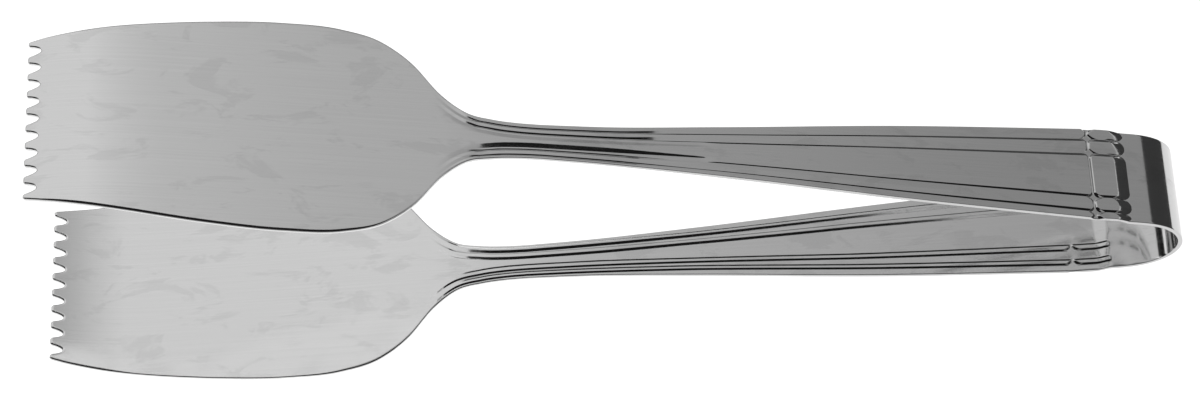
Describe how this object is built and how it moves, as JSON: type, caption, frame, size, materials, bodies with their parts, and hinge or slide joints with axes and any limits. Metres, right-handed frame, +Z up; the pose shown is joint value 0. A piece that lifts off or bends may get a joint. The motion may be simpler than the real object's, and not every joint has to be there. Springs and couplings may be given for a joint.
{
  "type": "salad tongs",
  "caption": "Spring tongs bent from one polished steel strip: wide toothed spatula heads, ribbed tapering handles and a plain U-shaped bow that springs the arms apart.",
  "frame": {"origin": "centre of the bounding box in X and Y, on the surface that the lower arm lies on", "axes": "+X along the lower arm from the heads to the bow, +Y across the arms, +Z up, from the lower arm to the upper one"},
  "size_m": [0.2426, 0.0476, 0.0791],
  "materials": {
    "polished_stainless": "polished stainless steel, with faint lengthwise polishing lines on the heads"
  },
  "bodies": {
    "lower_arm": {"lower_head": "polished_stainless", "lower_handle": "polished_stainless", "lower_end_block": "polished_stainless", "lower_bow_half": "polished_stainless"},
    "upper_arm": {"upper_head": "polished_stainless", "upper_handle": "polished_stainless", "upper_end_block": "polished_stainless", "upper_bow_half": "polished_stainless"}
  },
  "joints": [
    {"name": "bow_flex", "type": "hinge", "parent": "lower_arm", "child": "upper_arm", "pos_m": [0.12075, 0, 0.01014], "axis": [0, -1, 0], "range_deg": [-4, 17.2], "stiffness_Nm_per_rad": 5, "springref_deg": -0.71}
  ]
}
